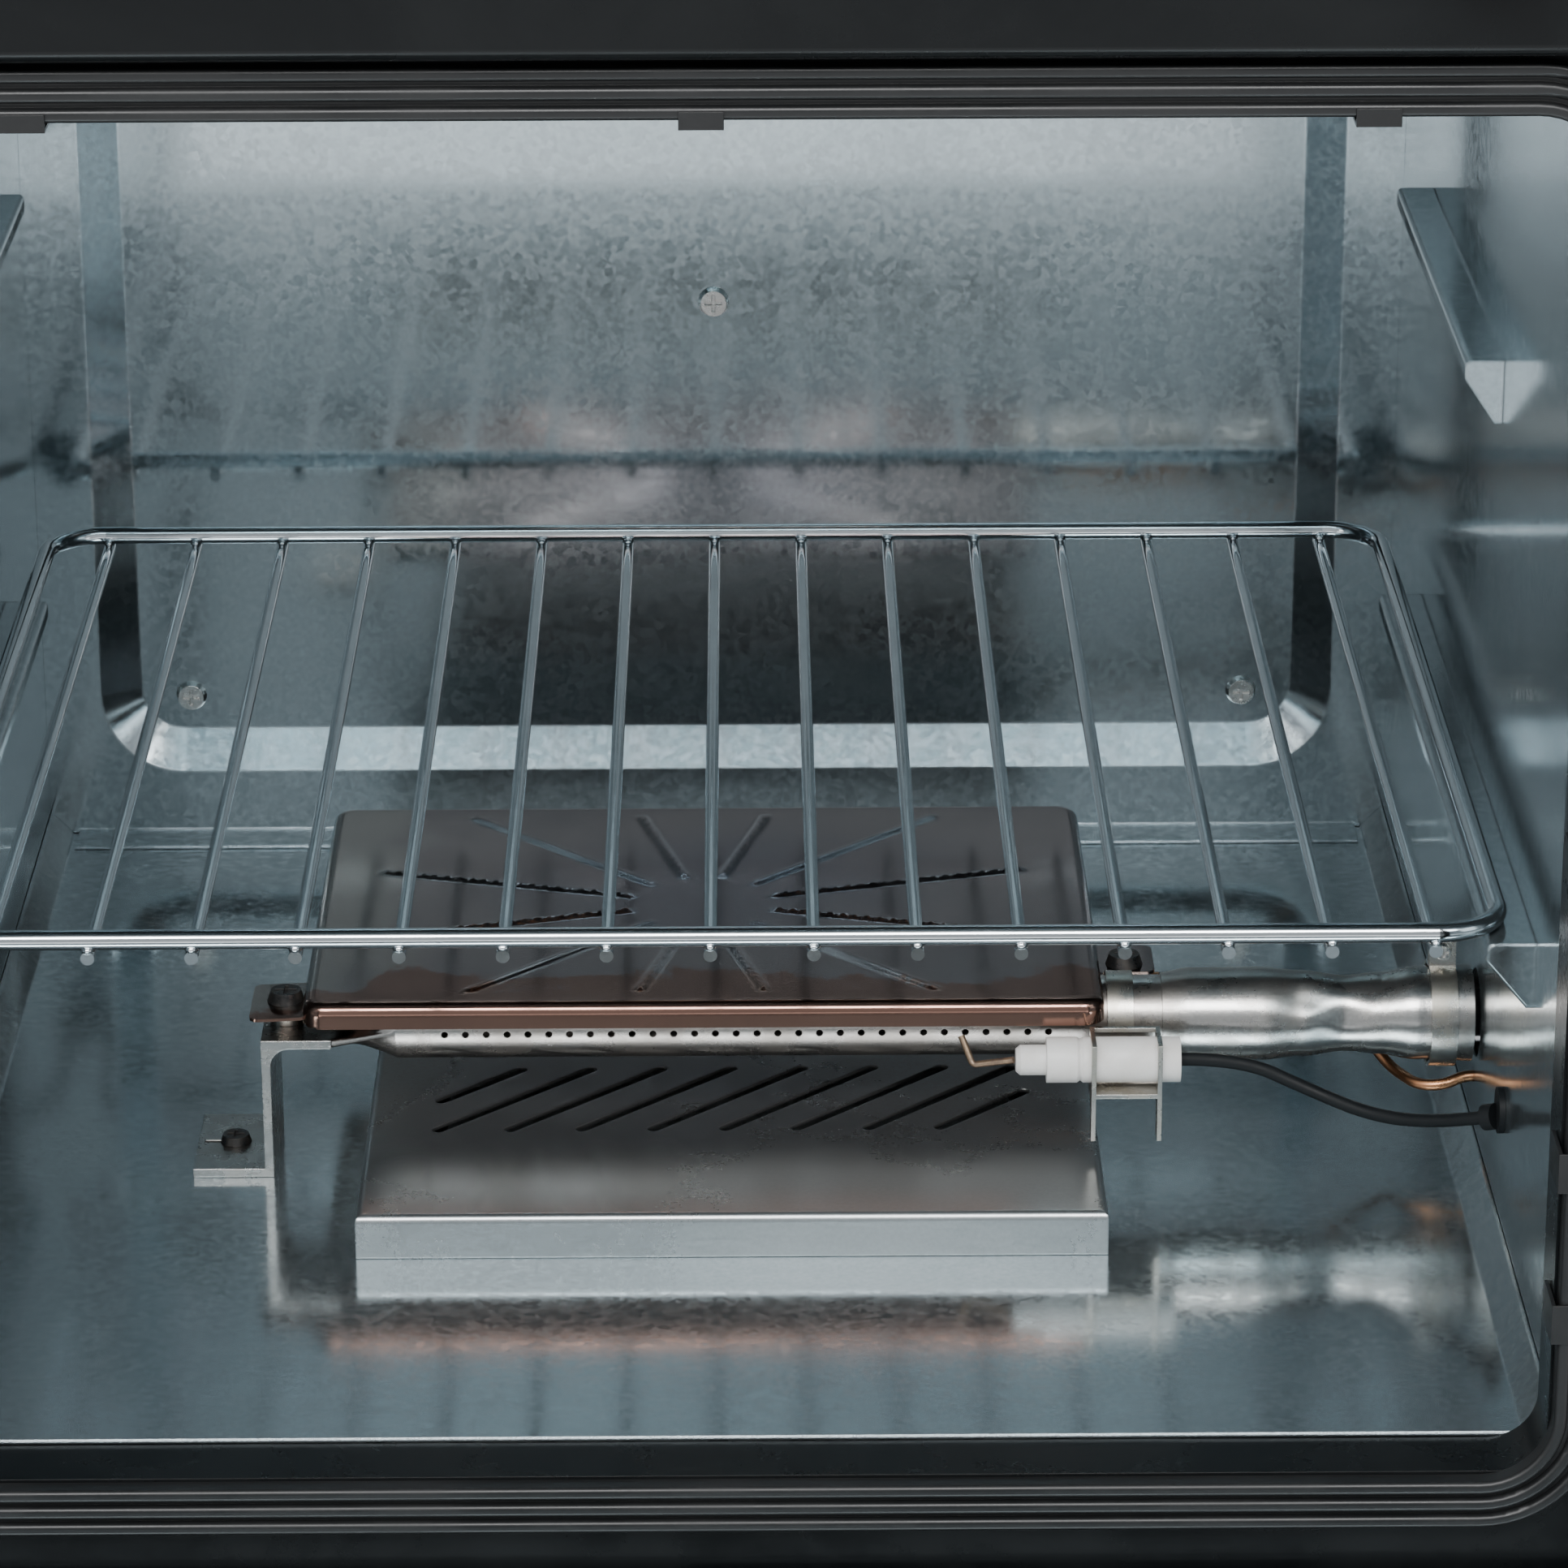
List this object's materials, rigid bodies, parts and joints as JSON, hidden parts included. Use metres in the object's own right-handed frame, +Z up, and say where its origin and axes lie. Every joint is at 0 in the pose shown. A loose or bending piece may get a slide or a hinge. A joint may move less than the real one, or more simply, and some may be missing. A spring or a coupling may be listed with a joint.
{
  "type": "gas oven",
  "caption": "Compact gas oven with a drop-down door hanging open, a sliding wire rack, a tube burner under a ribbed flame spreader, an igniter and a slotted heat baffle.",
  "frame": {"origin": "centre of the base pan, on its underside", "axes": "+X right seen from the front, +Y from the door to the back, +Z up"},
  "size_m": [0.5246, 0.896, 0.52],
  "materials": {
    "galvanised_steel": "dull spangled zinc",
    "casing_paint": "satin black powder coat",
    "black_enamel": "semi-gloss black enamel",
    "gasket_rubber": "satin moulded silicone",
    "cavity_steel": "satin aluminised steel with a fine mottled grain",
    "baffle_steel": "satin aluminised steel",
    "bright_screws": "bright zinc",
    "burner_steel": "bare drawn steel, handled and slightly dulled",
    "bright_bracket": "bright zinc",
    "spreader_steel": "heat-tinted brown steel, glossy",
    "black_screws": "black oxide",
    "white_ceramic": "unglazed white",
    "electrode_wire": "heat-browned wire",
    "lead_rubber": "black silicone sleeve",
    "control_plastic": "matte black",
    "brass_parts": "turned brass",
    "pipe_steel": "aluminised pipe",
    "copper_parts": "drawn copper",
    "mineral_wool": "loose fibre blanket",
    "spring_steel": "oiled spring steel",
    "rack_chrome": "bright chrome plate",
    "window_glass": "clear tempered glass",
    "handle_steel": "satin stainless",
    "handle_posts": "satin black"
  },
  "bodies": {
    "cabinet": {"back_wall_screws": "bright_screws", "base_pan": "galvanised_steel", "bulb_clips": "bright_bracket", "burner_screws": "black_screws", "burner_tube": "burner_steel", "casing_lead": "lead_rubber", "casing_screws": "bright_screws", "cavity_back_wall": "cavity_steel", "cavity_ceiling": "cavity_steel", "cavity_floor": "cavity_steel", "cavity_left_wall": "cavity_steel", "cavity_right_wall": "cavity_steel", "control_panel": "black_enamel", "door_gasket": "gasket_rubber", "flame_probe": "copper_parts", "flame_spreader": "spreader_steel", "flue_duct": "galvanised_steel", "front_frame": "black_enamel", "gas_feed_pipe": "pipe_steel", "gas_inlet": "brass_parts", "gas_jet": "brass_parts", "gas_supply_pipe": "pipe_steel", "gasket_clips": "gasket_rubber", "heat_baffle": "baffle_steel", "hinge_brackets": "galvanised_steel", "hinge_springs": "spring_steel", "igniter_bracket": "bright_bracket", "igniter_ceramic": "white_ceramic", "igniter_electrode": "electrode_wire", "igniter_lead": "lead_rubber", "lead_grommet": "lead_rubber", "left_side_panel": "casing_paint", "rear_cover": "galvanised_steel", "rear_insulation": "mineral_wool", "right_side_panel": "casing_paint", "side_insulation": "mineral_wool", "spark_unit": "control_plastic", "spreader_supports": "bright_bracket", "thermostat_bulb": "copper_parts", "thermostat_valve": "brass_parts", "top_cover": "casing_paint", "top_insulation": "mineral_wool", "venturi_tube": "burner_steel"},
    "door": {"door_outer_panel": "black_enamel", "door_glass": "window_glass", "door_inner_panel": "cavity_steel", "door_inner_glass": "window_glass", "door_insulation": "mineral_wool", "door_handle": "handle_steel", "handle_posts": "handle_posts", "hinge_blocks": "galvanised_steel", "door_arms": "galvanised_steel", "door_screws": "bright_screws"},
    "rack": {"rack_frame": "rack_chrome", "rack_rods": "rack_chrome"},
    "knob": {"thermostat_knob": "control_plastic"},
    "button": {"igniter_button": "control_plastic"},
    "shutter": {"air_shutter": "bright_bracket", "shutter_screw": "bright_screws"}
  },
  "joints": [
    {"name": "door_hinge", "type": "hinge", "parent": "cabinet", "child": "door", "pos_m": [0, -0.264, 0.072], "axis": [-1, 0, 0], "range_deg": [0, 90], "deforming": ["hinge_springs"]},
    {"name": "rack_slide", "type": "slide", "parent": "cabinet", "child": "rack", "axis": [0, 1, 0], "range_m": [-0.25, 0]},
    {"name": "knob_turn", "type": "hinge", "parent": "cabinet", "child": "knob", "pos_m": [0.17, -0.26, 0.489], "axis": [0, -1, 0], "range_deg": [0, 270]},
    {"name": "button_press", "type": "slide", "parent": "cabinet", "child": "button", "axis": [0, 1, 0], "range_m": [0, 0.004], "stiffness_N_per_m": 800},
    {"name": "shutter_turn", "type": "hinge", "parent": "cabinet", "child": "shutter", "pos_m": [0.193, -0.059, 0.148], "axis": [1, 0, 0], "range_deg": [-30, 60]}
  ]
}
